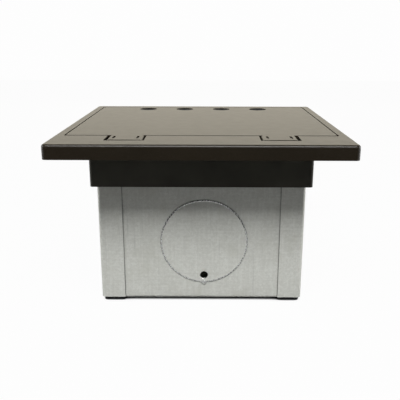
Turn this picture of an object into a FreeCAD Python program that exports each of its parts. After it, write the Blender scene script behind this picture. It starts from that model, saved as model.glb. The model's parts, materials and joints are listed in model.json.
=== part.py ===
"""Floor socket box: a sheet steel box hung from a floor frame with a hinged lid.

Millimetres, +Z up.  The origin is on the ground under the middle of the floor
frame, so X runs from side to side, -Y is the hinge side and +Y the cable side.
Every function makes one kind of piece; make_all() names them and export_all()
writes one STEP file for each name.
"""
import FreeCAD
import Part
import math
import os

# -------------------------------------------------------------------- general
flat_tolerance = 0.001
cutter_margin = 1.0

# ---------------------------------------------------------------- floor frame
overall_height = 181.0
frame_width = 292.0
frame_depth = 292.0
frame_height = 14.2
frame_corner_radius = 5.0
frame_edge_radius = 2.7
frame_skin = 3.0
frame_lip = 3.0
front_cover = 8.7
back_ledge = 8.8

# ------------------------------------------------------------------------ lid
lid_thickness = 3.0
lid_margin = 10.9
lid_side_gap = 1.0
lid_front_gap = 2.6
lid_corner_radius = 4.0
lid_edge_radius = 0.5
pocket_corner_radius = 1.5
hinge_land = 52.2
gasket_width = 6.0
gasket_thickness = 1.5
gasket_inset = 0.5
lid_rest_clearance = 0.2

# -------------------------------------------------------------------- hinges
tongue_spacing = 149.2
tongue_shift = 1.3
tongue_width = 34.2
tongue_reach = 26.9
tongue_side_gap = 2.1
tongue_front_gap = 2.2
tongue_corner_radius = 1.0
tongue_nose_radius = 2.2
swing_clearance = 0.4
hinge_axis_drop = 5.0
hinge_pin_radius = 1.5
running_clearance = 0.05
ear_spacing = 23.2
ear_thickness = 2.2
ear_nose_radius = 3.2
ear_slot_length = 12.0
ear_slot_setback = 10.9
ear_slot_clearance = 0.1
ear_tab_recess = 1.2
lug_width = 6.0
lug_radius = 4.5

# -------------------------------------------------------- cable outlet holes
outlet_count = 4
outlet_radius = 11.2
outlet_spacing = 48.6
outlet_back_gap = 0.8
grommet_wall = 2.2
grommet_flange = 1.3
grommet_flange_thickness = 1.8
grommet_clearance = 0.05
grommet_recess = 1.2

# ------------------------------------------------------------ lid stiffeners
stiffener_spacing = 120.0
stiffener_width = 24.0
stiffener_height = 6.0
stiffener_foot = 6.0
stiffener_sheet = 1.5
stiffener_front_gap = 8.0
stiffener_back_gap = 4.0

# ------------------------------------------------------------- fixing holes
fixing_radius = 2.75
fixing_head_radius = 5.5
fixing_boss_radius = 6.5
fixing_spacing_x = 242.0
fixing_spacing_y = 150.0

# --------------------------------------------------------------------- collar
collar_box_gap = 3.8
collar_sheet = 2.0
collar_bend_radius = 3.5
collar_drop = 38.2
collar_fit = 0.1
collar_top_gap = 0.1
collar_screw_radius = 1.95
collar_screw_head_radius = 3.2
collar_screw_head_height = 2.0
collar_screw_drop = 4.5
collar_screw_spacing = 110.0

# ------------------------------------------------------------------------ box
box_size = 214.4
box_sheet = 1.5
box_bend_radius = 3.5
pan_bend_radius = 3.0
corner_strip = 25.0
side_wall_lift = 1.5
side_wall_foot = 10.0
foot_size = 23.3
foot_height = 2.8
foot_inset = 0.5
foot_corner_radius = 4.0

# ----------------------------------------------------------------- knockouts
knockout_radius = 45.9
knockout_clearance = 0.15
knockout_height = 64.7
knockout_shift = 2.8
knockout_proud = 1.2
knockout_edge_radius = 0.4
pry_hole_radius = 4.1
pry_hole_setback = 8.4
tie_width = 5.6
tie_length = 5.2
tie_proud = 0.5

# --------------------------------------------------------- levelling gear
levelling_leg_gap = 0.2
levelling_screw_radius = 3.0
levelling_screw_length = 34.0
levelling_head_radius = 5.0
levelling_head_height = 3.0
levelling_slot_width = 1.4
hanger_size = 24.0
hanger_sheet = 2.5
hanger_top_gap = 1.05
hanger_drop = 4.3
hanger_gap = 2.5
lug_plate_size = 20.0
lug_plate_sheet = 3.0
lug_plate_leg = 14.0
lug_plate_depth = 9.0
weld_gap = 0.1
retainer_radius = 4.8
retainer_thickness = 1.5

# ------------------------------------------------------- device brackets
well_width = 112.0
bracket_sheet = 1.5
strap_headroom = 5.5
strap_floor_gap = 3.2
bracket_foot = 14.0
bracket_end_gap = 0.3
bracket_side_gap = 0.8
bracket_notch_gap = 1.0
bracket_screw_spacing = 160.0
bracket_screw_radius = 1.95
bracket_screw_head_radius = 3.6
bracket_screw_head_height = 2.2

# ---------------------------------------------- device openings and screws
device_spacing = 104.0
face_width = 33.2
face_length = 66.4
face_clearance = 0.4
strap_width = 44.0
strap_length = 106.0
strap_sheet = 1.2
device_screw_spacing = 83.3
device_screw_radius = 1.7
device_screw_head_radius = 3.3
device_screw_head_height = 1.5
device_screw_length = 6.5

# ----------------------------------------------------------- power outlets
face_proud = 4.0
face_edge_radius = 1.2
outlet_pitch = 38.0
blade_spacing = 12.7
blade_slot_width = 2.0
blade_slot_length = 8.0
earth_hole_radius = 2.5
earth_hole_drop = 11.9
housing_width = 40.0
housing_length = 70.0
housing_depth = 25.0
contact_width = 4.8
contact_length = 9.0
contact_depth = 12.0
contact_web = 1.6
contact_clearance = 0.2
terminal_radius = 3.4
terminal_height = 2.0
terminal_spacing = 19.0

# -------------------------------------------------------------- data ports
insert_proud = 2.0
insert_flange = 2.0
port_pitch = 30.0
jack_width = 14.6
jack_height = 16.6
jack_depth = 29.0
jack_clearance = 0.15
port_width = 11.8
port_height = 8.4
port_depth = 16.0
port_drop = 1.4
catch_width = 5.9
catch_height = 2.8
jack_pin_size = 0.5
jack_pin_setback = 4.0
jack_pin_count = 8
jack_pin_pitch = 1.02
cover_width = 17.0
cover_length = 17.0
cover_thickness = 1.6
cover_gap = 0.3
cover_barrel_radius = 1.5
cover_barrel_length = 10.0
cover_pin_radius = 0.6
cover_lug_width = 2.0
cover_lug_gap = 0.3
cover_lip = 1.4
cover_lip_width = 8.5

# --------------------------------------------------------------- earthing
earth_screw_radius = 2.5
earth_screw_head_radius = 4.6
earth_screw_head_height = 3.4
earth_lug_thickness = 1.2
earth_lug_width = 10.0
earth_lug_length = 26.0
earth_setback = 21.9

# ------------------------------------------------------------ derived places
lid_top = overall_height
lid_bottom = lid_top - lid_thickness
seat_top = lid_bottom - gasket_thickness
seat_bottom = seat_top - frame_skin
frame_bottom = overall_height - frame_height
deck_bottom = overall_height - frame_skin
half_frame_x = frame_width / 2
half_frame_y = frame_depth / 2

lid_half_width = half_frame_x - lid_margin
lid_back = half_frame_y - lid_margin
lid_front = -half_frame_y + hinge_land
pocket_half_width = lid_half_width + lid_side_gap
pocket_back = lid_back + lid_side_gap
pocket_front = lid_front - lid_front_gap
tongue_front = lid_front - tongue_reach
notch_half_width = tongue_width / 2 + tongue_side_gap
notch_front = tongue_front - tongue_front_gap

# The tongue's top front corner swings round the axis inside the front gap.
swing_reach = tongue_front_gap - swing_clearance
axis_lead = (hinge_axis_drop ** 2 - swing_reach ** 2) / (2 * swing_reach)
axis_y = tongue_front + axis_lead
axis_z = lid_top - hinge_axis_drop
ear_slot_y = lid_front - ear_slot_setback
hinge_well_bottom = axis_z - ear_nose_radius - swing_clearance

# The collar's back wall stands flush with the inner edge of the back seat, and the
# front seat covers its front wall.
box_half = box_size / 2
collar_half = box_half + collar_box_gap + collar_sheet
collar_inner = collar_half - collar_sheet
collar_bottom = frame_bottom - collar_drop
collar_top = hinge_well_bottom - collar_top_gap
opening_back = pocket_back - back_ledge
box_centre_y = opening_back - collar_inner
opening_front = box_centre_y - collar_inner + front_cover
outlet_y = opening_back - outlet_back_gap - outlet_radius - grommet_flange
skirt_half = collar_half + collar_fit + frame_skin

# The box hangs from the collar, so its top edge follows the frame down.
hanger_bottom = frame_bottom - hanger_drop
box_bottom = foot_height
box_top = hanger_bottom - hanger_gap
screw_plate_top = box_top - lug_plate_depth
pan_half = box_half - box_sheet
pan_inner = pan_half - box_sheet
floor_top = box_bottom + box_sheet
knockout_z = box_bottom + knockout_height

# The devices stand clear of the bracket's foot, and its roof clear of the devices.
device_height = bracket_sheet + strap_floor_gap + strap_length / 2
bracket_height = device_height + strap_length / 2 + strap_headroom + bracket_sheet
bracket_foot_edge = well_width / 2 + bracket_sheet + bracket_foot
earth_x = -(bracket_foot_edge + pan_half - side_wall_foot) / 2
earth_y = box_centre_y - pan_inner + earth_setback


# ------------------------------------------------------------ shape helpers
def block(x0, x1, y0, y1, z0, z1):
    """Rectangular block between two corners."""
    return Part.makeBox(x1 - x0, y1 - y0, z1 - z0, FreeCAD.Vector(x0, y0, z0))


def rod(radius, start, length, direction):
    """Round bar of a length from a start point along a direction."""
    return Part.makeCylinder(radius, length, FreeCAD.Vector(*start), FreeCAD.Vector(*direction))


def upright_edges(shape):
    """Straight edges of a shape that run along Z."""
    found = []
    for edge in shape.Edges:
        box = edge.BoundBox
        if box.XLength < flat_tolerance and box.YLength < flat_tolerance:
            found.append(edge)
    return found


def rounded_block(x0, x1, y0, y1, z0, z1, radius):
    """Block whose four upright corners are rounded."""
    shape = block(x0, x1, y0, y1, z0, z1)
    return shape.makeFillet(radius, upright_edges(shape))


def edges_at_height(shape, height):
    """Edges of a shape that lie flat at one height."""
    found = []
    for edge in shape.Edges:
        box = edge.BoundBox
        if max(abs(box.ZMin - height), abs(box.ZMax - height)) < flat_tolerance:
            found.append(edge)
    return found


def group(shapes):
    """Separate solids of one kind, kept together under one name."""
    return Part.makeCompound(shapes)


def corner_signs():
    """Signs of X and Y for the four corners."""
    return [(sx, sy) for sx in (-1, 1) for sy in (-1, 1)]


# -------------------------------------------------------------- floor frame
def tongue_centres():
    """X of the two hinge tongues."""
    return [tongue_shift - tongue_spacing / 2, tongue_shift + tongue_spacing / 2]


def fixing_places():
    """Centres of the four holes that take screws down into the floor."""
    return [(sx * fixing_spacing_x / 2, box_centre_y + sy * fixing_spacing_y / 2)
            for sx, sy in corner_signs()]


def make_floor_frame():
    """Cast frame: lip, deck, seat for the lid, skirt round the collar, hinge lugs."""
    hx, hy = half_frame_x, half_frame_y
    body = rounded_block(-hx, hx, -hy, hy, frame_bottom, lid_top, frame_corner_radius)
    body = body.makeFillet(frame_edge_radius, edges_at_height(body, lid_top))
    lip = frame_lip
    body = body.cut(block(-hx + lip, hx - lip, -hy + lip, hy - lip, frame_bottom, seat_bottom))
    front_void_end = pocket_front - frame_skin
    body = body.cut(block(-hx + lip, hx - lip, -hy + lip, front_void_end, seat_bottom, deck_bottom))
    body = body.fuse(make_skirt())
    for x, y in fixing_places():
        body = body.fuse(rod(fixing_boss_radius, (x, y, frame_bottom), seat_top - frame_bottom, (0, 0, 1)))
    for centre in tongue_centres():
        for side in (-1, 1):
            body = body.fuse(make_hinge_lug(centre, side))
    pocket = rounded_block(-pocket_half_width, pocket_half_width, pocket_front, pocket_back,
                           seat_top, lid_top + cutter_margin, pocket_corner_radius)
    body = body.cut(pocket)
    body = body.cut(block(-collar_inner, collar_inner, opening_front, opening_back,
                          frame_bottom, seat_top))
    body = body.cut(block(-collar_half - collar_fit, collar_half + collar_fit,
                          box_centre_y - collar_half - collar_fit,
                          box_centre_y + collar_half + collar_fit, frame_bottom, seat_bottom))
    for centre in tongue_centres():
        body = body.cut(block(centre - notch_half_width, centre + notch_half_width,
                              notch_front, pocket_front + gasket_inset, hinge_well_bottom, lid_top))
        body = body.cut(rod(hinge_pin_radius, (centre - notch_half_width - lug_width, axis_y, axis_z),
                            2 * (notch_half_width + lug_width), (1, 0, 0)))
    for x, y in fixing_places():
        body = body.cut(rod(fixing_radius, (x, y, frame_bottom), seat_top - frame_bottom, (0, 0, 1)))
        sink = fixing_head_radius - fixing_radius
        body = body.cut(Part.makeCone(fixing_radius, fixing_head_radius, sink,
                                      FreeCAD.Vector(x, y, seat_top - sink)))
    for start, direction in collar_screw_places():
        body = body.cut(rod(collar_screw_radius, start, 2 * (skirt_half - collar_inner), direction))
    return body


def make_skirt():
    """Ring under the seat that the collar's top stands in."""
    return block(-skirt_half, skirt_half, box_centre_y - skirt_half, box_centre_y + skirt_half,
                 frame_bottom, seat_bottom)


def make_hinge_lug(centre, side):
    """Rounded lug under the deck beside a notch, which carries one end of a pin."""
    near = centre + side * notch_half_width
    far = near + side * lug_width
    low, high = min(near, far), max(near, far)
    nose = rod(lug_radius, (low, axis_y, axis_z), lug_width, (1, 0, 0))
    neck = block(low, high, axis_y - lug_radius, axis_y + lug_radius, axis_z, deck_bottom)
    cap = block(low, high, axis_y - lug_radius, axis_y + lug_radius, deck_bottom, lid_top)
    return nose.fuse(neck).cut(cap)


def make_lid_gasket():
    """Flat rubber ring on the seat, just under the closed lid."""
    outer = pocket_half_width - gasket_inset
    back = pocket_back - gasket_inset
    front = pocket_front + 2 * gasket_inset
    top = lid_bottom - lid_rest_clearance
    radius = lid_corner_radius + lid_side_gap - gasket_inset
    ring = rounded_block(-outer, outer, front, back, seat_top, top, radius)
    inner = outer - gasket_width
    return ring.cut(block(-inner, inner, front + gasket_width, back - gasket_width, seat_top, top))


# ---------------------------------------------------------------------- lid
def outlet_places():
    """X of the cable outlet holes."""
    first = -(outlet_count - 1) * outlet_spacing / 2
    return [first + index * outlet_spacing for index in range(outlet_count)]


def ear_places():
    """X of the middle of each hinge ear."""
    return [centre + side * ear_spacing / 2 for centre in tongue_centres() for side in (-1, 1)]


def make_lid_plate():
    """Flat lid with two round nosed tongues, slots for the hinge ears and the outlet holes."""
    plate = rounded_block(-lid_half_width, lid_half_width, lid_front, lid_back,
                          lid_bottom, lid_top, lid_corner_radius)
    for centre in tongue_centres():
        tongue = rounded_block(centre - tongue_width / 2, centre + tongue_width / 2, tongue_front,
                               lid_front + lid_corner_radius, lid_bottom, lid_top, tongue_corner_radius)
        nose = [edge for edge in edges_at_height(tongue, lid_top)
                if edge.BoundBox.YMax < tongue_front + flat_tolerance]
        plate = plate.fuse(tongue.makeFillet(tongue_nose_radius, nose))
    plate = plate.removeSplitter()
    front = [edge for edge in edges_at_height(plate, lid_top)
             if abs(edge.BoundBox.YMin - lid_front) + edge.BoundBox.YLength < flat_tolerance]
    plate = plate.makeFillet(lid_edge_radius, front)
    half = ear_thickness / 2 + ear_slot_clearance
    for x in ear_places():
        plate = plate.cut(block(x - half, x + half, ear_slot_y - ear_slot_length / 2,
                                ear_slot_y + ear_slot_length / 2, lid_bottom, lid_top))
    for x in outlet_places():
        plate = plate.cut(rod(outlet_radius, (x, outlet_y, lid_bottom), lid_thickness, (0, 0, 1)))
    return plate


def make_hinge_ear(x):
    """Sheet ear under a tongue: a tab up into its slot and a nose round the pin."""
    low, high = x - ear_thickness / 2, x + ear_thickness / 2
    tab_half = ear_slot_length / 2 - ear_slot_clearance
    bottom = axis_z - ear_nose_radius
    tail = block(low, high, axis_y, ear_slot_y + tab_half, bottom, lid_bottom)
    nose = rod(ear_nose_radius, (low, axis_y, axis_z), ear_thickness, (1, 0, 0))
    nose = nose.cut(block(low, high, axis_y - ear_nose_radius, axis_y + ear_nose_radius,
                          lid_bottom, lid_top + ear_nose_radius))
    tab = block(low, high, ear_slot_y - tab_half, ear_slot_y + tab_half,
                lid_bottom, lid_top - ear_tab_recess)
    ear = tail.fuse(nose).fuse(tab)
    bore = rod(hinge_pin_radius + running_clearance, (low, axis_y, axis_z), ear_thickness, (1, 0, 0))
    return ear.cut(bore).removeSplitter()


def make_hinge_pin(centre):
    """Dowel pin from lug to lug through both ears of one tongue."""
    half = notch_half_width + lug_width
    return rod(hinge_pin_radius, (centre - half, axis_y, axis_z), 2 * half, (1, 0, 0))


def make_grommet(x):
    """Rubber bush sunk in one outlet hole, with a flange under the lid."""
    outer = outlet_radius - grommet_clearance
    bush = rod(outer, (x, outlet_y, lid_bottom), lid_thickness - grommet_recess, (0, 0, 1))
    flange = rod(outlet_radius + grommet_flange, (x, outlet_y, lid_bottom - grommet_flange_thickness),
                 grommet_flange_thickness, (0, 0, 1))
    bore = rod(outer - grommet_wall, (x, outlet_y, lid_bottom - grommet_flange_thickness),
               lid_thickness + grommet_flange_thickness, (0, 0, 1))
    return bush.fuse(flange).cut(bore)


def make_lid_stiffener(x):
    """Hat channel under the lid, from the hinge side to the outlets."""
    start = opening_front + stiffener_front_gap
    end = outlet_y - outlet_radius - grommet_flange - stiffener_back_gap
    half = stiffener_width / 2
    bottom = lid_bottom - stiffener_height
    outer = block(x - half, x + half, start, end, bottom, lid_bottom)
    inner = half - stiffener_sheet
    hollow = block(x - inner, x + inner, start, end, bottom + stiffener_sheet, lid_bottom)
    foot = half + stiffener_foot
    feet = block(x - foot, x + foot, start, end, lid_bottom - stiffener_sheet, lid_bottom)
    return outer.fuse(feet).cut(hollow)


# ------------------------------------------------------------------- collar
def make_collar():
    """Square sheet tube that drops through the floor's cut-out round the box."""
    shell = rounded_block(-collar_half, collar_half, box_centre_y - collar_half,
                          box_centre_y + collar_half, collar_bottom, collar_top, collar_bend_radius)
    hollow = rounded_block(-collar_inner, collar_inner, box_centre_y - collar_inner,
                           box_centre_y + collar_inner, collar_bottom, collar_top,
                           collar_bend_radius - collar_sheet)
    shell = shell.cut(hollow)
    for start, direction in collar_screw_places():
        shell = shell.cut(rod(collar_screw_radius + running_clearance, start, 2 * collar_sheet, direction))
    return shell


def collar_screw_places():
    """Start on the collar's inner face and direction of each screw, two to a side."""
    height = seat_bottom - collar_screw_drop
    along = collar_screw_spacing / 2
    places = []
    for offset in (-along, along):
        for sign in (-1, 1):
            places.append(((sign * collar_inner, box_centre_y + offset, height), (sign, 0, 0)))
            places.append(((offset, box_centre_y + sign * collar_inner, height), (0, sign, 0)))
    return places


def make_collar_screw(start, direction):
    """Pan head screw from inside the collar into the frame's skirt."""
    outward = FreeCAD.Vector(*direction)
    foot = FreeCAD.Vector(*start)
    shank = Part.makeCylinder(collar_screw_radius, collar_sheet + frame_skin, foot, outward)
    head = Part.makeCylinder(collar_screw_head_radius, collar_screw_head_height, foot, outward.negative())
    return shank.fuse(head)


# ---------------------------------------------------------------- steel box
def make_box_pan():
    """One folded sheet: front wall, floor and back wall, each wall with its knockout."""
    low, high = box_centre_y - pan_half, box_centre_y + pan_half
    shell = block(-pan_half, pan_half, low, high, box_bottom, box_top)
    folds = [edge for edge in edges_at_height(shell, box_bottom) if edge.BoundBox.XLength > pan_half]
    shell = shell.makeFillet(pan_bend_radius, folds)
    shell = shell.common(rounded_block(-pan_half, pan_half, low, high, box_bottom, box_top,
                                       box_bend_radius - box_sheet))
    hollow = block(-pan_half, pan_half, low + box_sheet, high - box_sheet, floor_top,
                   box_top + cutter_margin)
    folds = [edge for edge in edges_at_height(hollow, floor_top) if edge.BoundBox.XLength > pan_half]
    hollow = hollow.makeFillet(pan_bend_radius - box_sheet, folds)
    shell = shell.cut(hollow)
    for sign in (-1, 1):
        start = (-sign * knockout_shift, box_centre_y + sign * (pan_inner - cutter_margin), knockout_z)
        shell = shell.cut(rod(knockout_radius, start, 2 * (box_sheet + cutter_margin), (0, sign, 0)))
    for x, y in bracket_screw_places():
        shell = shell.cut(rod(bracket_screw_radius + running_clearance, (x, y, box_bottom),
                              box_sheet, (0, 0, 1)))
    return shell.cut(rod(earth_screw_radius + running_clearance, (earth_x, earth_y, box_bottom),
                         box_sheet, (0, 0, 1)))


def make_side_wall(side):
    """Side wall with a strip folded round each corner and a foot on the box's floor."""
    bottom = box_bottom + side_wall_lift
    low, high = box_centre_y - box_half, box_centre_y + box_half
    shell = rounded_block(-box_half, box_half, low, high, bottom, box_top, box_bend_radius)
    hollow = rounded_block(-pan_half, pan_half, low + box_sheet, high - box_sheet,
                           bottom, box_top, box_bend_radius - box_sheet)
    shell = shell.cut(hollow)
    strip_edge = box_half - corner_strip
    shell = shell.common(block(strip_edge, box_half, low, high, bottom, box_top))
    hole = rod(knockout_radius, (pan_half - cutter_margin, box_centre_y, knockout_z),
               2 * (box_sheet + cutter_margin), (1, 0, 0))
    shell = shell.cut(hole)
    foot = block(pan_half - side_wall_foot, pan_half, box_centre_y - pan_inner + pan_bend_radius,
                 box_centre_y + pan_inner - pan_bend_radius, floor_top, floor_top + box_sheet)
    shell = shell.fuse(foot)
    if side < 0:
        shell = shell.mirror(FreeCAD.Vector(0, 0, 0), FreeCAD.Vector(1, 0, 0))
    return shell


def make_knockout(radius):
    """Disc punched part way out along -Y, with its pry hole and the tie that holds it.

    Modelled with the wall's outer face at Y = 0 and the disc's centre at the origin.
    """
    disc = rod(radius, (0, -knockout_proud, 0), box_sheet, (0, 1, 0))
    rim = [edge for edge in disc.Edges if edge.BoundBox.YMax < flat_tolerance - knockout_proud]
    disc = disc.makeFillet(knockout_edge_radius, rim)
    pry_z = -radius + pry_hole_setback
    disc = disc.cut(rod(pry_hole_radius, (0, -2 * knockout_proud, pry_z), 3 * box_sheet, (0, 1, 0)))
    half = tie_width / 2
    tie = block(-half, half, -knockout_proud - tie_proud, 0,
                -radius - tie_length / 2, -radius + tie_length / 2)
    return disc.fuse(tie)


def place_knockout(turn, shift):
    """Knockout turned about Z to face one wall, then moved out to that wall."""
    disc = make_knockout(knockout_radius - knockout_clearance)
    wall = pan_half if turn % 180 == 0 else box_half
    disc.translate(FreeCAD.Vector(shift, -wall, knockout_z))
    disc.rotate(FreeCAD.Vector(0, 0, 0), FreeCAD.Vector(0, 0, 1), turn)
    disc.translate(FreeCAD.Vector(0, box_centre_y, 0))
    return disc


def make_foot(sx, sy):
    """Pad under one corner of the box, rounded at its outer corner."""
    outer_x = pan_half - foot_inset
    outer_y = pan_half - foot_inset
    pad = block(outer_x - foot_size, outer_x, outer_y - foot_size, outer_y, 0, foot_height)
    corner = [edge for edge in upright_edges(pad)
              if min(edge.BoundBox.XMin - outer_x, edge.BoundBox.YMin - outer_y) > -flat_tolerance]
    pad = pad.makeFillet(foot_corner_radius, corner)
    if sx < 0:
        pad = pad.mirror(FreeCAD.Vector(0, 0, 0), FreeCAD.Vector(1, 0, 0))
    if sy < 0:
        pad = pad.mirror(FreeCAD.Vector(0, 0, 0), FreeCAD.Vector(0, 1, 0))
    pad.translate(FreeCAD.Vector(0, box_centre_y, 0))
    return pad


# ------------------------------------------------------------ levelling gear
def levelling_places():
    """Signs and screw centre at each corner of the collar."""
    reach = pan_inner - lug_plate_sheet - levelling_leg_gap - levelling_screw_radius
    return [(sx, sy, sx * reach, box_centre_y + sy * reach) for sx, sy in corner_signs()]


def make_hanger(sx, sy):
    """Angle welded inside a corner of the collar, which a levelling screw hangs in."""
    wall = sx * collar_inner
    inner = wall - sx * hanger_size
    corner_y = box_centre_y + sy * collar_inner
    inner_y = corner_y - sy * hanger_size
    top = hanger_bottom + hanger_sheet
    edge = sx * (collar_inner - collar_bend_radius)
    edge_y = corner_y - sy * collar_bend_radius
    plate = block(min(inner, edge), max(inner, edge), min(inner_y, edge_y), max(inner_y, edge_y),
                  hanger_bottom, top)
    web = wall - sx * hanger_sheet
    leg_root = sx * (collar_inner - collar_bend_radius - hanger_sheet)
    leg = block(min(wall, web), max(wall, web), min(inner_y, edge_y), max(inner_y, edge_y),
                hanger_bottom, collar_top - hanger_top_gap)
    bridge = block(min(wall, leg_root), max(wall, leg_root), min(inner_y, edge_y),
                   max(inner_y, edge_y), hanger_bottom, top)
    return plate.fuse(leg).fuse(bridge).removeSplitter()


def make_hangers():
    """The four collar angles, each with a clearance hole for its screw."""
    hangers = []
    for sx, sy, x, y in levelling_places():
        hole = rod(levelling_screw_radius + running_clearance, (x, y, hanger_bottom),
                   hanger_sheet, (0, 0, 1))
        hangers.append(make_hanger(sx, sy).cut(hole))
    return group(hangers)


def make_screw_plate(sx, sy, x, y):
    """Angle welded inside a corner of the box, threaded for a levelling screw."""
    wall = sx * (pan_half - weld_gap)
    inner = wall - sx * lug_plate_size
    corner_y = box_centre_y + sy * pan_inner
    inner_y = corner_y - sy * lug_plate_size
    top = screw_plate_top
    plate = block(min(inner, wall), max(inner, wall), min(inner_y, corner_y), max(inner_y, corner_y),
                  top - lug_plate_sheet, top)
    web = corner_y - sy * lug_plate_sheet
    leg = block(min(inner, wall), max(inner, wall), min(web, corner_y), max(web, corner_y),
                top - lug_plate_leg, top)
    hole = rod(levelling_screw_radius + running_clearance, (x, y, top - lug_plate_sheet),
               lug_plate_sheet, (0, 0, 1))
    return plate.fuse(leg).cut(hole)


def make_levelling_screw(x, y):
    """Slotted screw whose head rests on its hanger and whose thread turns in the box."""
    seat = hanger_bottom + hanger_sheet
    shank = rod(levelling_screw_radius, (x, y, seat - levelling_screw_length),
                levelling_screw_length, (0, 0, 1))
    head = rod(levelling_head_radius, (x, y, seat), levelling_head_height, (0, 0, 1))
    slot = block(x - levelling_head_radius, x + levelling_head_radius,
                 y - levelling_slot_width / 2, y + levelling_slot_width / 2,
                 seat + levelling_head_height / 2, seat + levelling_head_height)
    return shank.fuse(head.cut(slot))


def make_retainer(x, y):
    """Ring on a levelling screw under its hanger, so that the screw lifts as well as lowers."""
    start = (x, y, hanger_bottom - retainer_thickness)
    ring = rod(retainer_radius, start, retainer_thickness, (0, 0, 1))
    return ring.cut(rod(levelling_screw_radius + running_clearance, start, retainer_thickness, (0, 0, 1)))


# ------------------------------------------------------------ device brackets
def device_places():
    """Y of the two devices on each bracket, hinge side first."""
    return [box_centre_y - device_spacing / 2, box_centre_y + device_spacing / 2]


def device_z():
    """Height of the middle of the devices."""
    return floor_top + device_height


def bracket_screw_places():
    """Centres of the screws that hold the bracket feet to the box's floor."""
    x = bracket_foot_edge - bracket_foot / 2
    return [(sx * x, box_centre_y + sy * bracket_screw_spacing / 2) for sx, sy in corner_signs()]


def make_device_bracket(side):
    """Z-shaped sheet: a foot on the floor, a wall for two devices and a roof to the side wall.

    The roof's outer corners are notched, so that the levelling screws pass it.
    """
    near = well_width / 2
    low = box_centre_y - pan_inner + bracket_end_gap
    high = box_centre_y + pan_inner - bracket_end_gap
    top = floor_top + bracket_height
    wall = block(near, near + bracket_sheet, low, high, floor_top, top)
    corner = box_sheet + pan_bend_radius
    foot = block(near, near + bracket_sheet + bracket_foot, low + corner, high - corner,
                 floor_top, floor_top + bracket_sheet)
    roof = block(near, pan_half - bracket_side_gap, low, high, top - bracket_sheet, top)
    trim = block(near, near + bracket_sheet, low, low + corner, floor_top, floor_top + corner)
    wall = wall.cut(trim)
    trim.translate(FreeCAD.Vector(0, high - low - corner, 0))
    wall = wall.cut(trim)
    notch = lug_plate_size + bracket_notch_gap
    for y in (low, high - notch):
        roof = roof.cut(block(pan_half - notch, pan_half, y, y + notch, top - bracket_sheet, top))
    shape = wall.fuse(foot).fuse(roof)
    half_width = face_width / 2 + face_clearance
    half_length = face_length / 2 + face_clearance
    for y in device_places():
        shape = shape.cut(block(near, near + bracket_sheet, y - half_width, y + half_width,
                                device_z() - half_length, device_z() + half_length))
        for offset in (-device_screw_spacing / 2, device_screw_spacing / 2):
            shape = shape.cut(rod(device_screw_radius + running_clearance,
                                  (near, y, device_z() + offset), bracket_sheet, (1, 0, 0)))
    for x, y in bracket_screw_places():
        if x > 0:
            shape = shape.cut(rod(bracket_screw_radius + running_clearance, (x, y, floor_top),
                                  bracket_sheet, (0, 0, 1)))
    if side < 0:
        shape = shape.mirror(FreeCAD.Vector(0, 0, 0), FreeCAD.Vector(1, 0, 0))
    return shape


def make_bracket_screw(x, y):
    """Pan head screw through a bracket's foot into the box's floor."""
    seat = floor_top + bracket_sheet
    shank = rod(bracket_screw_radius, (x, y, box_bottom), seat - box_bottom, (0, 0, 1))
    return shank.fuse(rod(bracket_screw_head_radius, (x, y, seat), bracket_screw_head_height, (0, 0, 1)))


def place_device(shape, side, y):
    """Move a device modelled about the origin, facing -X, to its place on a bracket.

    side is 1 for the bracket at +X, whose devices face -X, and -1 for the other.
    """
    placed = shape.copy()
    if side < 0:
        placed.rotate(FreeCAD.Vector(0, 0, 0), FreeCAD.Vector(0, 0, 1), 180)
    placed.translate(FreeCAD.Vector(side * well_width / 2, y, device_z()))
    return placed


def make_device_screws():
    """Two screws for each of the four devices, through the bracket into the strap."""
    screws = []
    for offset in (-device_screw_spacing / 2, device_screw_spacing / 2):
        shank = rod(device_screw_radius, (0, 0, offset), device_screw_length, (1, 0, 0))
        head = rod(device_screw_head_radius, (-device_screw_head_height, 0, offset),
                   device_screw_head_height, (1, 0, 0))
        screws.append(shank.fuse(head))
    return [place_device(screw, side, y) for side in (-1, 1) for y in device_places()
            for screw in screws]


# ------------------------------------------------------------- power outlets
def blade_openings(start, depth, width, length):
    """The two blade slots of each outlet as blocks of a given depth."""
    slots = []
    for centre in (-outlet_pitch / 2, outlet_pitch / 2):
        for sign in (-1, 1):
            y = sign * blade_spacing / 2
            slots.append(block(start, start + depth, y - width / 2, y + width / 2,
                               centre - length / 2, centre + length / 2))
    return slots


def earth_openings(start, depth, radius):
    """The round earth hole of each outlet."""
    return [rod(radius, (start, 0, centre - earth_hole_drop), depth, (1, 0, 0))
            for centre in (-outlet_pitch / 2, outlet_pitch / 2)]


def make_outlet_face():
    """Front moulding of a power outlet, which stands through the bracket."""
    back = bracket_sheet + strap_sheet
    shape = block(-face_proud, back, -face_width / 2, face_width / 2, -face_length / 2, face_length / 2)
    rim = [edge for edge in shape.Edges if edge.BoundBox.XMax < -face_proud + flat_tolerance]
    shape = shape.makeFillet(face_edge_radius, rim)
    reach = face_proud + back
    for slot in blade_openings(-face_proud, reach, blade_slot_width, blade_slot_length):
        shape = shape.cut(slot)
    for hole in earth_openings(-face_proud, reach, earth_hole_radius):
        shape = shape.cut(hole)
    return shape


def make_strap():
    """Steel strap behind the bracket, round the outlet's face."""
    start = bracket_sheet
    shape = block(start, start + strap_sheet, -strap_width / 2, strap_width / 2,
                  -strap_length / 2, strap_length / 2)
    half_width = face_width / 2 + running_clearance
    half_length = face_length / 2 + running_clearance
    shape = shape.cut(block(start, start + strap_sheet, -half_width, half_width,
                            -half_length, half_length))
    for offset in (-device_screw_spacing / 2, device_screw_spacing / 2):
        shape = shape.cut(rod(device_screw_radius + running_clearance, (start, 0, offset),
                              strap_sheet, (1, 0, 0)))
    return shape


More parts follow.
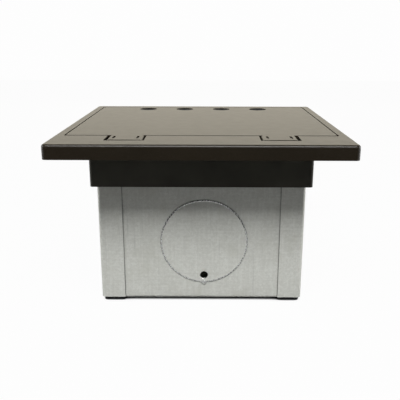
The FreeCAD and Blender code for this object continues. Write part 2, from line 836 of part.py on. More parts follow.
def make_outlet_housing():
    """Rear moulding of a power outlet, with a chamber behind each slot."""
    front = bracket_sheet + strap_sheet
    shape = block(front, front + housing_depth, -housing_width / 2, housing_width / 2,
                  -housing_length / 2, housing_length / 2)
    chamber_depth = contact_depth + contact_clearance
    for chamber in blade_openings(front, chamber_depth, contact_width + contact_clearance,
                                  contact_length + contact_clearance):
        shape = shape.cut(chamber)
    for chamber in earth_openings(front, chamber_depth, earth_hole_radius + contact_clearance):
        shape = shape.cut(chamber)
    return shape


def make_outlet_contacts():
    """Brass clips behind the blade slots, each slit down the middle for a blade."""
    front = bracket_sheet + strap_sheet + contact_clearance
    clips = blade_openings(front, contact_depth, contact_width, contact_length)
    slits = blade_openings(front, contact_depth - contact_web, blade_slot_width, contact_length)
    return [clip.cut(slit) for clip, slit in zip(clips, slits)]


def make_terminal_screws():
    """Terminal screws along both sides of one outlet's housing."""
    x = bracket_sheet + strap_sheet + housing_depth / 2
    screws = []
    for sign in (-1, 1):
        for z in (-terminal_spacing / 2, terminal_spacing / 2):
            screws.append(rod(terminal_radius, (x, sign * housing_width / 2, z), terminal_height,
                              (0, sign, 0)))
    return screws


# ---------------------------------------------------------------- data ports
def port_centres():
    """Height of each data port above the middle of its insert."""
    return [-port_pitch / 2, port_pitch / 2]


def cover_axis(centre):
    """X and Z of the pin that a port's dust cover swings on."""
    x = -insert_proud - cover_gap - cover_barrel_radius
    z = centre + cover_length / 2 + cover_barrel_radius
    return x, z


def make_data_insert():
    """Plastic insert with a flange behind the bracket, two port holes and pin lugs."""
    start = bracket_sheet
    flange = block(start, start + insert_flange, -strap_width / 2, strap_width / 2,
                   -strap_length / 2, strap_length / 2)
    boss = block(-insert_proud, start + insert_flange, -face_width / 2, face_width / 2,
                 -face_length / 2, face_length / 2)
    shape = flange.fuse(boss)
    for centre in port_centres():
        half_width = jack_width / 2 + jack_clearance
        half_height = jack_height / 2 + jack_clearance
        shape = shape.cut(block(-insert_proud, start + insert_flange, -half_width, half_width,
                                centre - half_height, centre + half_height))
        for side in (-1, 1):
            shape = shape.fuse(make_cover_lug(centre, side))
        x, z = cover_axis(centre)
        length = cover_barrel_length + 2 * (cover_lug_gap + cover_lug_width)
        shape = shape.cut(rod(cover_pin_radius, (x, -length / 2, z), length, (0, 1, 0)))
    for offset in (-device_screw_spacing / 2, device_screw_spacing / 2):
        shape = shape.cut(rod(device_screw_radius + running_clearance, (start, 0, offset),
                              insert_flange, (1, 0, 0)))
    return shape


def make_cover_lug(centre, side):
    """Lug on the insert's face that carries one end of a dust cover's pin."""
    x, z = cover_axis(centre)
    near = side * (cover_barrel_length / 2 + cover_lug_gap)
    far = near + side * cover_lug_width
    low = min(near, far)
    nose = rod(cover_barrel_radius, (x, low, z), cover_lug_width, (0, 1, 0))
    neck = block(x, -insert_proud, low, low + cover_lug_width,
                 z - cover_barrel_radius, z + cover_barrel_radius)
    return nose.fuse(neck)


def make_data_jack(centre):
    """Socket module: a block with the plug's opening and its catch notch in front."""
    shape = block(-insert_proud, jack_depth - insert_proud, -jack_width / 2, jack_width / 2,
                  centre - jack_height / 2, centre + jack_height / 2)
    middle = centre + port_drop
    port = block(-insert_proud, port_depth - insert_proud, -port_width / 2, port_width / 2,
                 middle - port_height / 2, middle + port_height / 2)
    catch = block(-insert_proud, port_depth - insert_proud, -catch_width / 2, catch_width / 2,
                  middle - port_height / 2 - catch_height, middle - port_height / 2)
    return shape.cut(port).cut(catch)


def make_jack_pins(centre):
    """Row of gilt contact wires along the roof of one socket."""
    top = centre + port_drop + port_height / 2
    pins = []
    for index in range(jack_pin_count):
        y = (index - (jack_pin_count - 1) / 2) * jack_pin_pitch
        pins.append(block(jack_pin_setback, port_depth - insert_proud, y - jack_pin_size / 2,
                          y + jack_pin_size / 2, top - 2 * jack_pin_size, top))
    return pins


def make_dust_cover(centre):
    """Flap over a port: a plate, a barrel round the pin and a finger lip at the bottom."""
    x, z = cover_axis(centre)
    face = -insert_proud - cover_gap
    low = centre - cover_length / 2
    plate = block(face - cover_thickness, face, -cover_width / 2, cover_width / 2,
                  low, z - cover_barrel_radius)
    neck = block(face - cover_thickness, face, -cover_barrel_length / 2, cover_barrel_length / 2,
                 z - cover_barrel_radius, z)
    barrel = rod(cover_barrel_radius, (x, -cover_barrel_length / 2, z), cover_barrel_length, (0, 1, 0))
    lip = block(face - cover_thickness - cover_lip, face - cover_thickness, -cover_lip_width / 2,
                cover_lip_width / 2, low, low + cover_thickness)
    bore = rod(cover_pin_radius + running_clearance, (x, -cover_barrel_length / 2, z),
               cover_barrel_length, (0, 1, 0))
    return plate.fuse(neck).fuse(barrel).fuse(lip).cut(bore).removeSplitter()


def make_cover_pin(centre):
    """Pin from lug to lug through a dust cover's barrel."""
    x, z = cover_axis(centre)
    length = cover_barrel_length + 2 * (cover_lug_gap + cover_lug_width)
    return rod(cover_pin_radius, (x, -length / 2, z), length, (0, 1, 0))


# ------------------------------------------------------------------ earthing
def make_earth_lug():
    """Flat ring lug on the floor under the earth screw."""
    x, y = earth_x, earth_y
    half = earth_lug_width / 2
    plate = rod(half, (x, y, floor_top), earth_lug_thickness, (0, 0, 1))
    tail = block(x - half / 2, x + half / 2, y, y + earth_lug_length, floor_top,
                 floor_top + earth_lug_thickness)
    hole = rod(earth_screw_radius + running_clearance, (x, y, floor_top), earth_lug_thickness, (0, 0, 1))
    return plate.fuse(tail).cut(hole)


def make_earth_screw():
    """Hexagon head screw through the lug into the box's floor."""
    x, y = earth_x, earth_y
    seat = floor_top + earth_lug_thickness
    corners = []
    for index in range(7):
        angle = math.radians(60 * index)
        corners.append(FreeCAD.Vector(x + earth_screw_head_radius * math.cos(angle),
                                      y + earth_screw_head_radius * math.sin(angle), seat))
    head = Part.Face(Part.makePolygon(corners)).extrude(FreeCAD.Vector(0, 0, earth_screw_head_height))
    return head.fuse(rod(earth_screw_radius, (x, y, box_bottom), seat - box_bottom, (0, 0, 1)))


# ------------------------------------------------------------------ assembly
def add_shell_parts(parts):
    """Frame, lid, hinges, collar and the steel box."""
    parts["floor_frame"] = make_floor_frame()
    parts["lid_gasket"] = make_lid_gasket()
    parts["lid_plate"] = make_lid_plate()
    parts["hinge_ears"] = group([make_hinge_ear(x) for x in ear_places()])
    parts["hinge_pin_left"] = make_hinge_pin(tongue_centres()[0])
    parts["hinge_pin_right"] = make_hinge_pin(tongue_centres()[1])
    parts["cable_grommets"] = group([make_grommet(x) for x in outlet_places()])
    parts["lid_stiffener_left"] = make_lid_stiffener(-stiffener_spacing / 2)
    parts["lid_stiffener_right"] = make_lid_stiffener(stiffener_spacing / 2)
    parts["collar"] = make_collar()
    parts["collar_screws"] = group([make_collar_screw(*place) for place in collar_screw_places()])
    parts["box_pan"] = make_box_pan()
    parts["side_wall_left"] = make_side_wall(-1)
    parts["side_wall_right"] = make_side_wall(1)
    parts["knockout_front"] = place_knockout(0, knockout_shift)
    parts["knockout_right"] = place_knockout(90, 0)
    parts["knockout_back"] = place_knockout(180, knockout_shift)
    parts["knockout_left"] = place_knockout(270, 0)
    parts["corner_feet"] = group([make_foot(sx, sy) for sx, sy in corner_signs()])


def add_levelling_parts(parts):
    """What hangs the box from the collar and sets its height."""
    places = levelling_places()
    parts["levelling_hangers"] = make_hangers()
    parts["levelling_plates"] = group([make_screw_plate(*place) for place in places])
    parts["levelling_screws"] = group([make_levelling_screw(x, y) for _, _, x, y in places])
    parts["levelling_retainers"] = group([make_retainer(x, y) for _, _, x, y in places])


def add_power_parts(parts):
    """The two power outlets on the left bracket."""
    parts["power_bracket"] = make_device_bracket(-1)
    contacts = []
    terminals = []
    for name, y in zip(("front", "back"), device_places()):
        parts["outlet_face_" + name] = place_device(make_outlet_face(), -1, y)
        parts["outlet_strap_" + name] = place_device(make_strap(), -1, y)
        parts["outlet_housing_" + name] = place_device(make_outlet_housing(), -1, y)
        contacts += [place_device(clip, -1, y) for clip in make_outlet_contacts()]
        terminals += [place_device(screw, -1, y) for screw in make_terminal_screws()]
    parts["outlet_contacts"] = group(contacts)
    parts["terminal_screws"] = group(terminals)


def add_data_parts(parts):
    """The two data inserts on the right bracket, each with two covered sockets."""
    parts["data_bracket"] = make_device_bracket(1)
    pins = []
    cover_pins = []
    for name, y in zip(("front", "back"), device_places()):
        parts["data_insert_" + name] = place_device(make_data_insert(), 1, y)
        for level, centre in zip(("lower", "upper"), port_centres()):
            parts["data_jack_" + name + "_" + level] = place_device(make_data_jack(centre), 1, y)
            parts["dust_cover_" + name + "_" + level] = place_device(make_dust_cover(centre), 1, y)
            pins += [place_device(pin, 1, y) for pin in make_jack_pins(centre)]
            cover_pins.append(place_device(make_cover_pin(centre), 1, y))
    parts["jack_contacts"] = group(pins)
    parts["dust_cover_pins"] = group(cover_pins)


def make_all():
    """Every piece by name."""
    parts = {}
    add_shell_parts(parts)
    add_levelling_parts(parts)
    add_power_parts(parts)
    add_data_parts(parts)
    parts["bracket_screws"] = group([make_bracket_screw(x, y) for x, y in bracket_screw_places()])
    parts["device_screws"] = group(make_device_screws())
    parts["earth_lug"] = make_earth_lug()
    parts["earth_screw"] = make_earth_screw()
    return parts


def export_all():
    """Write one STEP file for each piece."""
    os.makedirs("parts", exist_ok=True)
    for name, shape in make_all().items():
        shape.exportStep("parts/" + name + ".step")


export_all()
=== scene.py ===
"""Floor socket box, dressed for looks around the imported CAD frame.  Metres, +Z up."""
import json
import math
import bmesh
import bpy
import numpy as np
from mathutils import Matrix, Vector


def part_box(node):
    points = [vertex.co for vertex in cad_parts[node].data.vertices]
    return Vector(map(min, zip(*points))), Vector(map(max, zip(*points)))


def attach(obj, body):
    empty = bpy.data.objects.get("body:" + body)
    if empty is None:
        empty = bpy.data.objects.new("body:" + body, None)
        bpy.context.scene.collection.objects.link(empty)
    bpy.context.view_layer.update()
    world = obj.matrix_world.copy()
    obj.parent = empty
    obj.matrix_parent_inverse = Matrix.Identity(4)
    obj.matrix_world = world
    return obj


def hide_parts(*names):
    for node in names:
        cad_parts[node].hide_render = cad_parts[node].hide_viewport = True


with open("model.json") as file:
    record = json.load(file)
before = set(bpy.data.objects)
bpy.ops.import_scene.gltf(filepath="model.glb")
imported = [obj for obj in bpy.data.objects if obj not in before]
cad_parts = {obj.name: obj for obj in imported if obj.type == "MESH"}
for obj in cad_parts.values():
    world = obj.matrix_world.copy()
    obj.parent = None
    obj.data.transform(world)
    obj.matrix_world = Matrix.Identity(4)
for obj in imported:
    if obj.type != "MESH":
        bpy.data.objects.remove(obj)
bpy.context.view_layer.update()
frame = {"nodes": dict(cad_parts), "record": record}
NODES = frame["nodes"]
BODIES = frame["record"]["behaviour"]["bodies"]
MM = 0.001
ACROSS, DEEP, UP = np.eye(3)
SHARP_ANGLE = math.radians(50)
SAME_POINT = 1e-7


# ------------------------------------------------------------- node helpers
def new_finish(name, **shader_values):
    """Material with one Principled shader whose plain sockets are set; returns all three."""
    material = bpy.data.materials.new(name)
    material.use_nodes = True
    tree = material.node_tree
    shader = tree.nodes["Principled BSDF"]
    for key, value in shader_values.items():
        shader.inputs[key.replace("_", " ")].default_value = value
    return material, tree, shader


def grain(tree, size, stretch=(1.0, 1.0, 1.0), detail=3.0, rough=0.55, shift=0.0):
    """Cloudy field whose blotches measure about size metres, longer where stretch is under 1."""
    place = tree.nodes.new("ShaderNodeTexCoord")
    mapping = tree.nodes.new("ShaderNodeMapping")
    mapping.inputs["Scale"].default_value = stretch
    mapping.inputs["Location"].default_value = (shift, shift, shift)
    noise = tree.nodes.new("ShaderNodeTexNoise")
    noise.inputs["Scale"].default_value = 1.0 / size
    noise.inputs["Detail"].default_value = detail
    noise.inputs["Roughness"].default_value = rough
    tree.links.new(place.outputs["Object"], mapping.inputs["Vector"])
    tree.links.new(mapping.outputs["Vector"], noise.inputs["Vector"])
    return noise.outputs["Fac"]


def crystals(tree, size):
    """Field of flat random values, one to each crystal of about size metres."""
    place = tree.nodes.new("ShaderNodeTexCoord")
    cells = tree.nodes.new("ShaderNodeTexVoronoi")
    cells.inputs["Scale"].default_value = 1.0 / size
    split = tree.nodes.new("ShaderNodeSeparateColor")
    tree.links.new(place.outputs["Object"], cells.inputs["Vector"])
    tree.links.new(cells.outputs["Color"], split.inputs["Color"])
    return split.outputs["Red"]


def spread(tree, field, low, high, out_low=0.0, out_high=1.0):
    """Field stretched so that low to high becomes out_low to out_high, with soft ends."""
    ease = tree.nodes.new("ShaderNodeMapRange")
    ease.interpolation_type = "SMOOTHSTEP"
    limits = {"From Min": low, "From Max": high, "To Min": out_low, "To Max": out_high}
    for socket, value in limits.items():
        ease.inputs[socket].default_value = value
    tree.links.new(field, ease.inputs["Value"])
    return ease.outputs["Result"]


def combine(tree, operation, first, second):
    """Sum, product or other arithmetic of two fields, or of a field and a number."""
    node = tree.nodes.new("ShaderNodeMath")
    node.operation = operation
    for socket, value in zip(node.inputs, (first, second)):
        if isinstance(value, (int, float)):
            socket.default_value = value
        else:
            tree.links.new(value, socket)
    return node.outputs["Value"]


def tint(tree, amount, plain, changed):
    """Colour that goes from plain to changed with a field; either may be a colour or a socket."""
    mix = tree.nodes.new("ShaderNodeMix")
    mix.data_type = "RGBA"
    # The colour sockets share their names with the node's other sockets, so they go by number.
    factor, first_colour, second_colour = mix.inputs[0], mix.inputs[6], mix.inputs[7]
    mixed_colour = mix.outputs[2]
    tree.links.new(amount, factor)
    for socket, value in ((first_colour, plain), (second_colour, changed)):
        if isinstance(value, tuple):
            socket.default_value = (*value, 1.0)
        else:
            tree.links.new(value, socket)
    return mixed_colour


def soft_edges(tree, radius):
    """Normal that turns smoothly over every edge, as if each had a round of about radius metres."""
    edge = tree.nodes.new("ShaderNodeBevel")
    edge.samples = 6
    edge.inputs["Radius"].default_value = radius
    return edge.outputs["Normal"]


def edge_mask(tree, radius):
    """1 on edges and corners, falling to 0 at about radius metres from them."""
    facing = tree.nodes.new("ShaderNodeVectorMath")
    facing.operation = "DOT_PRODUCT"
    tree.links.new(soft_edges(tree, radius), facing.inputs[0])
    tree.links.new(tree.nodes.new("ShaderNodeNewGeometry").outputs["True Normal"], facing.inputs[1])
    return spread(tree, facing.outputs["Value"], 0.80, 0.999, 1.0, 0.0)


def dust_and_shade_in_gaps(tree, shader, reach, sheen):
    """Take the sheen off inside gaps narrower than reach metres, where dust collects: partly dust,
    partly painted shade that dims the gaps' reflections by ambient occlusion.
    """
    open_sky = tree.nodes.new("ShaderNodeAmbientOcclusion")
    open_sky.inputs["Distance"].default_value = reach
    tree.links.new(spread(tree, open_sky.outputs["AO"], 0.45, 0.95, 0.02, sheen),
                   shader.inputs["Specular IOR Level"])


def relief(tree, shader, height, depth):
    """Bump of a height field, depth metres from lowest to highest, over softened edges."""
    edge_radius = 0.0003
    bump = tree.nodes.new("ShaderNodeBump")
    bump.inputs["Distance"].default_value = depth
    tree.links.new(height, bump.inputs["Height"])
    tree.links.new(soft_edges(tree, edge_radius), bump.inputs["Normal"])
    tree.links.new(bump.outputs["Normal"], shader.inputs["Normal"])


def paint(tree, shader, colour, roughness):
    """Wire a colour and a roughness field into the shader."""
    tree.links.new(colour, shader.inputs["Base Color"])
    tree.links.new(roughness, shader.inputs["Roughness"])


# ------------------------------------------------------------------ finishes
def bronze_powder_coat():
    """Dark bronze powder coat: orange peel, faint cloud, fine specks, edges chipped a little, and
    painted shade that takes the sheen out of its gaps.
    """
    material, tree, shader = new_finish("bronze_powder_coat")
    cloud = spread(tree, grain(tree, 0.09, detail=2.0), 0.35, 0.65)
    specks = spread(tree, grain(tree, 0.0012), 0.55, 0.75)
    colour = tint(tree, cloud, (0.0078, 0.0058, 0.0032), (0.0092, 0.0068, 0.0038))
    colour = tint(tree, specks, colour, (0.014, 0.011, 0.008))
    chips = spread(tree, grain(tree, 0.0016, detail=4.0, shift=6.0), 0.50, 0.66)
    worn = combine(tree, "MULTIPLY", edge_mask(tree, 0.0005), chips)
    colour = tint(tree, combine(tree, "MULTIPLY", worn, 0.45), colour, (0.11, 0.095, 0.075))
    rubbed = grain(tree, 0.012, detail=5.0, shift=3.0)
    paint(tree, shader, colour, spread(tree, rubbed, 0.3, 0.7, 0.367, 0.383))
    # Painted shade in the coat's gaps, partly dust: their sheen is taken off by ambient occlusion.
    dust_and_shade_in_gaps(tree, shader, 0.010, 0.22)
    relief(tree, shader, grain(tree, 0.0018, detail=1.5), 0.00005)
    return material


def black_enamel():
    """Near black enamel, duller than the powder coat, with a finer skin and level scuffs."""
    material, tree, shader = new_finish("black_enamel", Specular_IOR_Level=0.2)
    cloud = spread(tree, grain(tree, 0.04), 0.35, 0.7)
    colour = tint(tree, cloud, (0.0330, 0.0315, 0.0240), (0.0420, 0.0400, 0.0310))
    scuffs = grain(tree, 0.004, stretch=(0.2, 0.2, 1.0), detail=5.0, shift=4.0)
    scuffs = combine(tree, "MULTIPLY", spread(tree, scuffs, 0.62, 0.78), 0.4)
    colour = tint(tree, scuffs, colour, (0.035, 0.033, 0.028))
    paint(tree, shader, colour, spread(tree, grain(tree, 0.02, shift=1.0), 0.3, 0.7, 0.42, 0.55))
    relief(tree, shader, grain(tree, 0.0015, detail=1.0), 0.00003)
    return material


def galvanised_sheet():
    """Zinc coated sheet: crystals, rolling lines both ways, stains, rubs, bright cut edges
    and painted shade in its seams."""
    material, tree, shader = new_finish("galvanised_sheet", Metallic=0.45)
    speckle = grain(tree, 0.0011, detail=4.0, rough=0.65)
    cells = combine(tree, "MULTIPLY", crystals(tree, 0.0022), 0.25)
    upright = grain(tree, 0.0022, stretch=(1.0, 1.0, 0.05), detail=3.0)
    level = grain(tree, 0.0022, stretch=(0.05, 0.05, 1.0), detail=3.0, shift=2.0)
    lines = combine(tree, "ADD", upright, level)
    tone = combine(tree, "ADD", speckle, cells)
    tone = combine(tree, "ADD", tone, combine(tree, "MULTIPLY", lines, 0.5))
    tone = spread(tree, tone, 0.85, 1.5)
    colour = tint(tree, tone, (0.46, 0.465, 0.43), (0.56, 0.57, 0.535))
    stain = spread(tree, grain(tree, 0.03, detail=5.0, shift=5.0), 0.52, 0.72, 0.0, 0.35)
    colour = tint(tree, stain, colour, (0.40, 0.40, 0.35))
    rub = grain(tree, 0.0035, stretch=(1.0, 1.0, 0.035), detail=4.0, shift=8.0)
    colour = tint(tree, spread(tree, rub, 0.62, 0.76, 0.0, 0.55), colour, (0.30, 0.305, 0.29))
    cut_edge = combine(tree, "MULTIPLY", edge_mask(tree, 0.0004), 0.6)
    colour = tint(tree, cut_edge, colour, (0.72, 0.73, 0.72))
    # Painted shade: the colour goes to near black inside seams and gaps narrower than 2.5 mm, by
    # ambient occlusion.
    seam = tree.nodes.new("ShaderNodeAmbientOcclusion")
    seam.inputs["Distance"].default_value = 0.0025
    painted_seam_shade = spread(tree, seam.outputs["AO"], 0.45, 0.90, 0.85, 0.0)
    colour = tint(tree, painted_seam_shade, colour, (0.035, 0.035, 0.03))
    dull = grain(tree, 0.012, detail=4.0, shift=4.0)
    paint(tree, shader, colour, spread(tree, dull, 0.3, 0.7, 0.42, 0.52))
    relief(tree, shader, combine(tree, "ADD", speckle, lines), 0.00004)
    return material


def burnished_rim_and_highlight():
    """Bright burnished zinc where the punch sheared and bent the sheet, lighter than the sheet
    round it: partly the bare zinc, partly a painted highlight on the rim.
    """
    material, tree, shader = new_finish("burnished_zinc_rim_and_highlight", Metallic=1.0)
    drag = grain(tree, 0.0008, stretch=(1.0, 1.0, 0.3), detail=3.0)
    colour = tint(tree, spread(tree, drag, 0.35, 0.7), (0.66, 0.67, 0.66), (0.82, 0.83, 0.82))
    paint(tree, shader, colour, spread(tree, drag, 0.3, 0.7, 0.20, 0.32))
    relief(tree, shader, drag, 0.00001)
    return material


def moulded_rubber():
    """Black rubber with a faint bloom and a fine moulded texture."""
    material, tree, shader = new_finish("moulded_rubber", Specular_IOR_Level=0.3)
    bloom = spread(tree, grain(tree, 0.006, detail=4.0), 0.4, 0.75)
    colour = tint(tree, bloom, (0.008, 0.009, 0.010), (0.022, 0.023, 0.024))
    paint(tree, shader, colour, spread(tree, bloom, 0.0, 1.0, 0.62, 0.8))
    relief(tree, shader, grain(tree, 0.0006, detail=1.0), 0.00004)
    return material


def plain_steel(name, dark, light, smooth, rough, metallic=1.0):
    """Bare or plated metal with drawn lines; two tones and the roughness tell which metal."""
    material, tree, shader = new_finish(name, Metallic=metallic)
    drawn = grain(tree, 0.0012, stretch=(1.0, 0.08, 1.0), detail=4.0)
    patch = grain(tree, 0.006, detail=3.0, shift=2.0)
    tone = spread(tree, combine(tree, "ADD", drawn, patch), 0.75, 1.25)
    paint(tree, shader, tint(tree, tone, dark, light), spread(tree, patch, 0.3, 0.7, smooth, rough))
    relief(tree, shader, drawn, 0.00002)
    return material


def moulded_plastic(name, dark, light, smooth, rough, peel):
    """Moulded plastic with a slight mottle and a spark textured skin of a given depth."""
    material, tree, shader = new_finish(name)
    mottle = spread(tree, grain(tree, 0.008, detail=4.0), 0.35, 0.7)
    colour = tint(tree, mottle, dark, light)
    paint(tree, shader, colour, spread(tree, grain(tree, 0.01, shift=3.0), 0.3, 0.7, smooth, rough))
    relief(tree, shader, grain(tree, 0.0007, detail=2.0), peel)
    return material


def make_finishes():
    """One finish for each material slot of the record."""
    return {
        "bronze_paint": bronze_powder_coat(),
        "black_paint": black_enamel(),
        "galvanised": galvanised_sheet(),
        "black_rubber": moulded_rubber(),
        "bare_steel": plain_steel(
            "oiled_drawn_steel", dark=(0.13, 0.125, 0.12), light=(0.22, 0.215, 0.205),
            smooth=0.35, rough=0.5),
        "zinc_screw": plain_steel(
            "zinc_plated_steel", dark=(0.60, 0.60, 0.57), light=(0.74, 0.74, 0.70),
            smooth=0.25, rough=0.4),
        "device_plastic": moulded_plastic(
            "ivory_nylon", dark=(0.72, 0.69, 0.61), light=(0.78, 0.75, 0.67),
            smooth=0.28, rough=0.4, peel=0.00001),
        "housing_plastic": moulded_plastic(
            "black_thermoset", dark=(0.055, 0.055, 0.058), light=(0.075, 0.075, 0.078),
            smooth=0.5, rough=0.65, peel=0.00003),
        "jack_plastic": moulded_plastic(
            "socket_body_plastic", dark=(0.028, 0.028, 0.031), light=(0.042, 0.042, 0.046),
            smooth=0.4, rough=0.55, peel=0.00002),
        "cover_plastic": moulded_plastic(
            "dust_cover_plastic", dark=(0.10, 0.10, 0.105), light=(0.13, 0.13, 0.135),
            smooth=0.45, rough=0.6, peel=0.00003),
        "contact_brass": plain_steel(
            "spring_brass", dark=(0.66, 0.50, 0.22), light=(0.80, 0.64, 0.32),
            smooth=0.22, rough=0.36),
        "earth_green": plain_steel(
            "green_dyed_zinc", dark=(0.035, 0.26, 0.09), light=(0.06, 0.38, 0.15),
            smooth=0.3, rough=0.45, metallic=0.6),
    }


def dress_frame(finishes):
    """Give every CAD node the finish of its slot."""
    for part in frame["record"]["subparts"]:
        slots = NODES[part["node"]].data.materials
        slots.clear()
        slots.append(finishes[part["material_slot"]])


# ---------------------------------------------------------- surfaces as grids
def solids_of(node):
    """Lowest and highest corners of each separate solid of a CAD node, in metres."""
    mesh = NODES[node].data
    points = np.empty(3 * len(mesh.vertices))
    mesh.vertices.foreach_get("co", points)
    points = points.reshape(-1, 3)
    ends = np.empty(2 * len(mesh.edges), dtype=np.int64)
    mesh.edges.foreach_get("vertices", ends)
    same = np.unique(np.round(points, 6), axis=0, return_inverse=True)[1].reshape(-1)
    first, second = same[ends.reshape(-1, 2)].T
    label = np.arange(same.max() + 1)
    changed = True
    while changed:
        before = label.copy()
        lowest = np.minimum(label[first], label[second])
        np.minimum.at(label, first, lowest)
        np.minimum.at(label, second, lowest)
        changed = not np.array_equal(before, label)
    owner = label[same]
    return [(points[owner == tag].min(axis=0), points[owner == tag].max(axis=0))
            for tag in np.unique(owner)]


def grid_faces(rows, columns, wrap_rows, first):
    """Four-sided faces between neighbours of a grid whose rows are closed loops."""
    row = np.arange(rows if wrap_rows else rows - 1)[:, None]
    column = np.arange(columns)[None, :]
    below, beside = (row + 1) % rows, (column + 1) % columns
    corners = np.broadcast_arrays(row * columns + column, row * columns + beside,
                                  below * columns + beside, below * columns + column)
    return np.stack(corners, axis=-1).reshape(-1, 4) + first


def make_piece(name, shells, slot, node):
    """One object from closed shells, riding with a CAD node and shown in its place.

    Each shell is (points, wraps): an array of rows of points, every row a closed loop.  A shell
    that wraps joins its last row to its first; the others shrink to a point at both ends.
    """
    points, faces, first = [], [], 0
    for loops, wraps in shells:
        rows, columns = loops.shape[:2]
        points.append(loops.reshape(-1, 3))
        faces.append(grid_faces(rows, columns, wraps, first))
        first += rows * columns
    mesh = bpy.data.meshes.new(name)
    mesh.from_pydata(np.concatenate(points).tolist(), [], np.concatenate(faces).tolist())
    work = bmesh.new()
    work.from_mesh(mesh)
    bmesh.ops.remove_doubles(work, verts=work.verts, dist=SAME_POINT)
    bmesh.ops.recalc_face_normals(work, faces=work.faces)
    work.to_mesh(mesh)
    work.free()
    mesh.shade_smooth()
    mesh.set_sharp_from_angle(angle=SHARP_ANGLE)
    mesh.materials.append(finishes[slot])
    piece = bpy.data.objects.new(name, mesh)
    bpy.context.scene.collection.objects.link(piece)
    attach(piece, next(body for body, nodes in BODIES.items() if node in nodes))
    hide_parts(node)
    return piece


def round_off(corners, radius):
    """Profile through the corners with each inner corner B rounded between P and Q.

    P and Q lie radius away from B towards its neighbours, or half way if that is nearer, and
    the curve is (1-t)^2 P + 2t(1-t) B + t^2 Q for t from 0 to 1.
    """
    corners = np.array(corners, dtype=float)
    t = np.linspace(0.0, 1.0, 5)[:, None]
    profile = [corners[:1]]
    for before, corner, after in zip(corners[:-2], corners[1:-1], corners[2:]):
        towards, away = before - corner, after - corner
        start = corner + towards * min(0.5, radius / np.linalg.norm(towards))
        end = corner + away * min(0.5, radius / np.linalg.norm(away))
        profile.append((1 - t) ** 2 * start + 2 * t * (1 - t) * corner + t ** 2 * end)
    profile.append(corners[-1:])
    return np.concatenate(profile)


def refined(profile, longest):
    """Profile with extra points, so that no step between two of them is over a length."""
    pieces = []
    for here, there in zip(profile[:-1], profile[1:]):
        count = max(1, math.ceil(np.linalg.norm(there - here) / longest))
        pieces.append(here + (there - here) * np.arange(count)[:, None] / count)
    pieces.append(profile[-1:])
    return np.concatenate(pieces)


def bottom_middle(low, high):
    """Middle of the underside of a box."""
    return np.array([(low[0] + high[0]) / 2, (low[1] + high[1]) / 2, low[2]])


def square_to(axis):
    """Two unit directions square to one of the coordinate axes and to each other."""
    side = UP if abs(axis[2]) < 0.5 else ACROSS
    return side, np.cross(axis, side)


def turned(profile, place, axis, columns):
    """Body of revolution: P(i, a) = place + h_i k + r_i (cos a u + sin a v).

    (r_i, h_i) are the points of the profile, k is the axis, and u and v square to it.
    """
    side, other = square_to(axis)
    angle = np.linspace(0.0, 2.0 * math.pi, columns, endpoint=False)[:, None]
    ring = np.cos(angle) * side + np.sin(angle) * other
    radius, height = profile.T
    return place + height[:, None, None] * axis + radius[:, None, None] * ring


def soft_step(value, width):
    """0 below 0, 1 above width, and 3s^2 - 2s^3 between them with s = value / width."""
    share = np.clip(value / width, 0.0, 1.0)
    return share * share * (3.0 - 2.0 * share)


def press_slots(loops, place, axis, depth, reach, width, arms):
    """Press a slot (arms = 1) or a cross (arms = 2) of a depth into the top of a turned head.

    With p and q the distances from the middle along two square directions, each arm takes
    depth * s(reach - |p|) * s(width/2 - |q|) off the height, s being the soft step.
    """
    side, other = square_to(axis)
    away = loops - place
    p, q = np.abs(away @ side), np.abs(away @ other)
    edge = 0.15 * MM
    cut = soft_step(reach - p, edge) * soft_step(width / 2 - q, edge)
    if arms == 2:
        cut = np.maximum(cut, soft_step(reach - q, edge) * soft_step(width / 2 - p, edge))
    height = away @ axis
    top = soft_step(height - (height.max() - 0.45 * depth), 0.1 * MM)
    return loops - (depth * cut * top)[..., None] * axis


def rectangle_loops(low, high, corner, section):
    """Loops round an upright rectangle: each (inset, height) of the section gives one loop.

    A loop with inset d runs along the rectangle shrunk by d, its corners of radius corner - d;
    a loop whose inset reaches the middle is drawn in to a point.
    """
    centre, half = (low + high) / 2, (high - low) / 2
    turn = np.linspace(0.0, math.pi / 2, 8)
    loops = []
    for inset, height in section:
        size = np.maximum(half[:2] - inset, 0.0)
        radius = min(max(corner - inset, 0.1 * MM), *size)
        loop = []
        for quarter, (sx, sy) in enumerate(((1, 1), (-1, 1), (-1, -1), (1, -1))):
            angle = turn + quarter * math.pi / 2
            loop.append(np.stack([sx * (size[0] - radius) + radius * np.cos(angle),
                                  sy * (size[1] - radius) + radius * np.sin(angle)], axis=-1))
        loop = np.concatenate(loop) + centre[:2]
        loops.append(np.column_stack([loop, np.full(len(loop), height)]))
    return np.array(loops)


# -------------------------------------------------------- pieces of the shell
TIE_PROUD = 0.5 * MM  # the most that a tie may stand out past its disc


